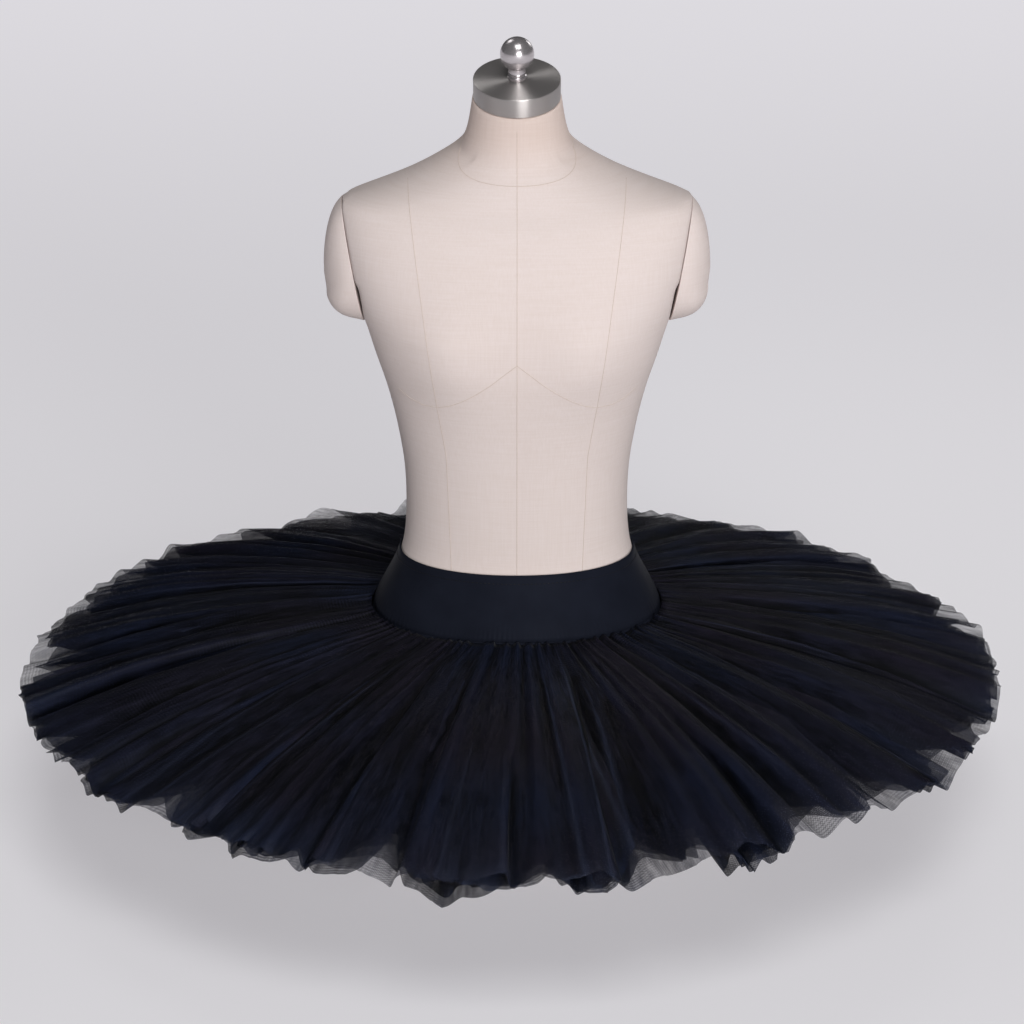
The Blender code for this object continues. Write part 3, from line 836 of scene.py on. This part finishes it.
def laps(seed, share, across):
    """Where one ply lies folded over the next: each lap stands up at an edge, from 0 to 1, and falls off to
    one side."""
    dice = random.Random(seed)
    lap = np.zeros((len(across), len(share)))
    far = across[:, None]
    for k in range(LAPS):
        at = k + dice.uniform(-0.5, 0.5) + dice.uniform(-0.9, 0.9) * far
        beside = off_line(share[None], at / LAPS)
        beside = beside * dice.choice((-1, 1)) * LAPS / dice.uniform(0.5, 2.2)
        come = np.clip((far - dice.uniform(-0.2, 0.75)) / 0.3, 0, 1)
        lap += dice.uniform(0.2, 1.0) * come * np.where(beside > 0, np.clip(1 - beside, 0, 1) ** 1.5, 0.0)
    return lap


def gathers(seed, share, across):
    """The ridges that the gathering stitches draw up, each running out to its own length."""
    dice = random.Random(seed)
    height = np.zeros((len(across), len(share)))
    far = across[:, None]
    for k in range(GATHERS):
        at = k + dice.uniform(-0.42, 0.42) + dice.uniform(-0.8, 0.8) * far
        beside = off_line(share[None], at / GATHERS)
        wide = dice.uniform(0.16, 0.36) * (1 + 1.5 * far) / GATHERS
        run = dice.uniform(0.05, 0.24)
        ridge = (1 - 0.8 * (beside / wide) ** 2) * np.exp(-((beside / wide) ** 2))
        height += GATHER_HEIGHT * dice.uniform(0.15, 1.0) * np.exp(-((far / run) ** 1.3)) * ridge
    return height


def stretches(dice, share, count, turn):
    """A line round the ring that holds random values from 0 to 1 over uneven stretches, and turns from one
    to the next over the last part of each."""
    starts = np.array([(k + dice.uniform(-0.32, 0.32)) / count for k in range(count)])
    values = np.array([dice.random() for _ in range(count)])
    starts, values = np.append(starts, starts[0] + 1), np.append(values, values[0])
    place = (share - starts[0]) % 1.0 + starts[0]
    k = np.clip(np.searchsorted(starts, place, side="right") - 1, 0, count - 1)
    part = (place - starts[k]) / (starts[k + 1] - starts[k])
    part = eased(np.clip((part - 1 + turn) / turn, 0, 1))
    return values[k] + (values[k + 1] - values[k]) * part


def windows(seed, share):
    """Where round the ring the hem is thin, from 0 to 1: wedges of their own widths and depths between the
    folds, each sheet's a little to one side of the next one's."""
    dice, own = random.Random("windows"), random.Random(seed)
    thin = np.zeros_like(share)
    for k in range(WINDOWS):
        at = (k + dice.uniform(-0.45, 0.45)) / WINDOWS + own.uniform(-0.0025, 0.0025)
        wide = dice.uniform(0.004, 0.014) * own.uniform(0.8, 1.15)
        depth = dice.random() ** 0.7
        thin = np.maximum(thin, depth * np.clip(1.15 - np.abs(off_line(share, at)) / wide, 0, 1))
    return thin


def mottled(seed, share, across, around_count, out_count):
    """Soft random patches, mostly from -1 to 1, so many round the ring and so many from the seam to the
    rim."""
    dice = random.Random(seed)
    grid = np.array([[dice.uniform(-1, 1) for _ in range(around_count)] for _ in range(out_count + 2)])
    column = np.floor(share * around_count).astype(int)
    row = np.floor(across * out_count).astype(int)
    aside, off = eased(share * around_count - column), eased(across * out_count - row)[:, None]
    near, far = (
        line[:, column] * (1 - aside) + line[:, (column + 1) % around_count] * aside
        for line in (grid[row], grid[row + 1])
    )
    return near * (1 - off) + far * off


def rim_cut(sheet, share):
    """How much longer or shorter than its oval the net hangs, in metres: uneven stretches, lobes between
    the folds and a raw edge."""
    dice = random.Random(sheet.name + " rim")
    hang = stretches(dice, share, 47, 0.3) ** 3
    wide = stretches(dice, share, 11, 0.8) ** 2
    lobes = np.abs(np.sin(np.pi * (RIM_LOBES * share + 0.7 * wander(dice, share, 5, 23)))) ** 0.8
    raw = wander(dice, share, 70, 190, 9)
    short = sheet.short * (0.65 * hang + 0.35 * wide) + sheet.bare * windows(sheet.name, share)
    return (RIM_LOBE * lobes - 3.5 + RIM_RAW * raw) * MM - short


def net_marks(sheet, share, across, around, z, broad, lap, lips):
    """What the net's material reads at each point. around is each ring's length in metres, z its points'
    heights, broad those of the folds alone, lap and lips where plies lie over each other and are turned
    over."""
    far = across[:, None]
    raised = broad / (FOLD_FULL + FOLD_MORE * far)
    creased = z - blurred(z, sheet.columns * 0.011)
    crowd = 1.0 - CROWDING * np.clip(raised, -1.5, 1.0)  # cloth crowds together at the foot of a fold
    thin = 1 - WINDOW_THINNING * windows(sheet.name, share)[None] * far**4
    gathering = np.clip(3.2 / around, 0.9, 5.0)[:, None] * crowd * sheet.body * (1 + lips) * thin
    streaks = stretches(random.Random(sheet.name + " streaks"), share, 240, 0.8)
    pale = 0.6 * streaks[None] * far**9  # painted light: paler streaks at the rim, standing for the floor's light between the plies
    # painted shade and highlight: the tone falls in fold valleys and crease hollows and rises on fold backs,
    # crease ridges and lap edges, the creases' share larger near the seam; random patches of tone go on top
    crease = 0.10 + 0.16 * np.exp(-far / 0.12)
    crest = TONE + FOLD_SHADING * raised + LAP_HIGHLIGHT * (lap - lap.mean()) + crease * creased / CREASE_FULL
    for patch, weight, round_it, out in TONE_PATCHES:
        crest += weight * mottled(f"{sheet.name} {patch}", share, across, round_it, out)
    lines = mottled(sheet.name + " lines", share, across, 96, 10)
    brown = mottled(sheet.solid + " brown", share, across, 22, 4)
    return {
        "gathering": gathering,
        "crest": np.clip(crest, 0, 1),
        # the painted highlight along turned edges and the painted light at the rim
        "edge": np.clip(lips + pale, 0, 1),
        "lines": np.clip(0.32 + 0.9 * lines, 0, 1),
        "brown": np.clip(0.5 + 0.9 * brown, 0, 1),
    }


def make_net(sheet, solids, yoke, rims, tulle):
    """One sheet of net: a strip gathered to the yoke, following its solid's pleats out to a ragged rim."""
    solid = solids[sheet.solid]
    share = np.arange(sheet.columns) / sheet.columns
    across = (np.arange(sheet.rings) / (sheet.rings - 1)) ** STATION_POWER
    inner_top = float(solid.points[:, 2].max())
    sewn_at = min(inner_top, float(yoke.points[:, 2].max()) - 2 * MM)
    seam = even_steps(seam_loop(yoke, sewn_at), sheet.columns)
    rim = even_steps(rims[sheet.solid], sheet.columns)
    spoke = rim - seam
    length = np.linalg.norm(spoke, axis=1)
    out = spoke / length[:, None]
    beside = np.column_stack([-out[:, 1], out[:, 0]])
    longer = sheet.reach - 1 + rim_cut(sheet, share) / length
    grown_to = across[:, None] * (1 + longer[None] * across[:, None] ** 2)
    flat = seam[None] + spoke[None] * grown_to[..., None]
    base = heights_under(solid, flat)
    pleat = sheet.columns / 60
    level = blurred(blurred(base, pleat * 1.6), pleat)
    soft = blurred(base, sheet.columns * 0.0045)
    pleats = SOLID_PLEAT * (soft - level)
    dips, dips_aside, lips = valleys(sheet.solid + " valleys", share, across)
    soft_ones, soft_aside = soft_folds(sheet.solid + " folds", SOFT_FOLDS, share, across)
    own, own_aside = soft_folds(sheet.name, OWN_FOLDS, share, across)
    pinches = gathers(sheet.solid + " gathers", share, across)
    lean = PLEAT_LEAN * wander(random.Random(sheet.solid + " lean"), share, 2, 7)
    aside = dips_aside + soft_aside + own_aside + lean[None] * pleats
    place = flat + beside[None] * aside[..., None]
    head = GATHER_HEAD * np.exp(-across[:, None] / 0.03)
    lap = laps(sheet.name + " laps", share, across)
    droop = 0.5 + 0.5 * wander(random.Random(sheet.name + " droop"), share, 20, 60)
    broad = pleats + dips + soft_ones
    z = level + broad + own + pinches + head + sheet.lift * (0.25 + 0.75 * across[:, None])
    z += LAP_HEIGHT * (lap - lap.mean())
    z -= (RIM_DROOP * droop)[None] * across[:, None] ** 9
    deep = float(length.mean())
    mesh = ring_mesh(sheet.name, np.dstack([place, z]), sheet.strip, across * deep)
    around = np.linalg.norm(np.roll(flat, -1, axis=1) - flat, axis=2).sum(axis=1)
    for key, values in net_marks(sheet, share, across, around, z, broad, lap, lips).items():
        layer = mesh.attributes.new(key, "FLOAT", "POINT")
        layer.data.foreach_set("value", values.ravel().astype(np.float32))
    piece = new_piece(sheet.name, mesh, tulle, sheet.solid, slot="net")
    wall = piece.modifiers.new("thickness", "SOLIDIFY")
    wall.thickness = NET_THICK
    wall.offset = 0.0


# ---- the waistband and the yoke ----


def laid_round(tree, heights, columns, off):
    """Rows of points laid on the form round the body: rays from outside at each height, moved out by off."""
    rows = np.empty((len(heights), columns, 3))
    for j, height in enumerate(heights):
        for k in range(columns):
            turn = math.pi / 2 + 2 * math.pi * k / columns
            way = Vector((math.cos(turn), math.sin(turn), 0.0))
            hit, normal = tree.ray_cast(way * BODY_REACH + Vector((0.0, 0.0, height)), -way)[:2]
            rows[j, k] = hit + normal * off
    return rows


def band_around(tube, form, satin, puckers=None):
    """A closed tube of cloth round the form: its outer face, its top and bottom edges, and its inner face."""
    low, high = (corner.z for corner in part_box(tube.node))
    heights = np.linspace(low, high, tube.rows)
    inner = laid_round(form, heights, tube.columns, TUBE_GAP)
    outer = laid_round(form, heights, tube.columns, TUBE_GAP + tube.wall)
    if puckers:
        outer[..., :2] *= (1 + puckers(heights, np.arange(tube.columns) / tube.columns))[..., None]
    roll = 0.35 * tube.wall
    bottom = (outer[:1] + inner[:1]) / 2 - [0, 0, roll]
    top = (outer[-1:] + inner[-1:]) / 2 + [0, 0, roll]
    stack = np.concatenate([bottom, outer, top, inner[::-1]])
    along = np.concatenate([[0.0], heights - low, [high - low], (heights - low)[::-1]])
    mesh = ring_mesh(tube.name, stack, tube.flat[0], along, closed=True)
    piece = new_piece(tube.name, mesh, satin, tube.node, slot="satin")


def gather_puckers(heights, share):
    """The pull of the gathers on the band's lower edge, as a share of the radius."""
    dice = random.Random(7)
    phase = 2 * np.pi * (PUCKERS * share + 0.9 * wander(dice, share, 3, 14))
    strength = 0.6 + 0.4 * np.clip(wander(dice, share, 5, 21), -1, 1)
    up = (heights - heights[0])[:, None] / PUCKER_RISE
    slack = SLACK * wander(dice, share, 2, 6)[None] * np.sin(np.clip(up * 0.55, 0, math.pi)) ** 2
    return PUCKER_DEPTH * np.sin(phase)[None] * strength[None] * np.exp(-up * up * 2.0) + slack


# ---- the scene ----


def aim(item, target):
    """Turns a camera or a lamp to look at a point."""
    item.rotation_euler = (target - item.location).to_track_quat("-Z", "Y").to_euler()


def add_camera():
    """The camera, in front of the piece and a little above it."""
    data = bpy.data.cameras.new("camera")
    data.lens, data.sensor_width = LENS, SENSOR
    camera = bpy.data.objects.new("camera", data)
    back = Vector((0.0, -math.cos(CAMERA_RISE), math.sin(CAMERA_RISE)))
    camera.location = TARGET + back * CAMERA_DISTANCE
    aim(camera, TARGET)
    bpy.context.scene.collection.objects.link(camera)
    bpy.context.scene.camera = camera


def add_softbox(name, place, side, power):
    """A square lamp aimed at the middle of the piece."""
    data = bpy.data.lights.new(name, "AREA")
    data.shape, data.size, data.size_y = "RECTANGLE", side, side
    data.energy = power
    lamp = bpy.data.objects.new(name, data)
    lamp.location = place
    aim(lamp, MIDDLE)
    bpy.context.scene.collection.objects.link(lamp)


def add_studio():
    """The world's faint light, the lamps and the floor."""
    world = bpy.data.worlds.new("studio")
    world.use_nodes = True
    world.node_tree.nodes["Background"].inputs["Color"].default_value = WORLD_COLOUR
    world.node_tree.nodes["Background"].inputs["Strength"].default_value = WORLD_STRENGTH
    bpy.context.scene.world = world
    for name, turn, rise, away, side, power in SOFTBOXES:
        turn, rise = math.radians(turn), math.radians(rise)
        way = Vector((math.sin(turn) * math.cos(rise), -math.cos(turn) * math.cos(rise), math.sin(rise)))
        add_softbox(name, MIDDLE + way * away, side, power)
    mesh = bpy.data.meshes.new("floor")
    far = FLOOR_HALF
    mesh.from_pydata([(-far, -far, 0), (far, -far, 0), (far, far, 0), (-far, far, 0)], [], [(0, 1, 2, 3)])
    mesh.materials.append(floor_material())
    floor = bpy.data.objects.new("floor", mesh)
    bpy.context.scene.collection.objects.link(floor)
    bpy.context.scene.view_settings.view_transform = "Standard"


def main():
    """Builds the form, then the waistband and yoke on it, then their threads, then the nets."""
    add_camera()
    add_studio()
    linen, satin, tulle = linen_material(), satin_material(), tulle_material()
    torso = rounded("form_torso_cover", "form_torso", 2, 32, 0, linen, "linen")
    pads = [
        rounded(f"shoulder_pad_{side}_cover", f"shoulder_pad_{side}", 3, 50, 1, linen, "linen")
        for side in SIDES
    ]
    make_neck_plate(brushed_steel_material())
    make_finial(polished_steel_material())
    form = tree_of(torso)
    band_around(BAND, form, satin, gather_puckers)
    band_around(YOKE, form, satin)
    band_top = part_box("waistband")[1].z
    thread = thread_material("polyester sewing thread in natural", "#cdbcb2", 0.7)
    seams = cover_seams(form, band_top)
    grown("form_seams", seams, seam_tree(thread), {"Radius": SEAM_RADIUS}, thread, "linen")
    black_thread = thread_material("polyester sewing thread in black", "#08090c", 0.5)
    line = laid_round(form, [band_top - STITCH_DOWN], BAND.columns, STITCH_OFF)[0]
    grown("waistband_topstitch", [(line, True)], stitch_tree(black_thread), STITCH, black_thread, "satin")
    solids = {sheet.solid: Solid(sheet.solid) for sheet in SHEETS}
    yoke = Solid("hip_yoke")
    rims = {name: rim_loop(solid) for name, solid in solids.items()}
    for sheet in SHEETS:
        make_net(sheet, solids, yoke, rims, tulle)


main()
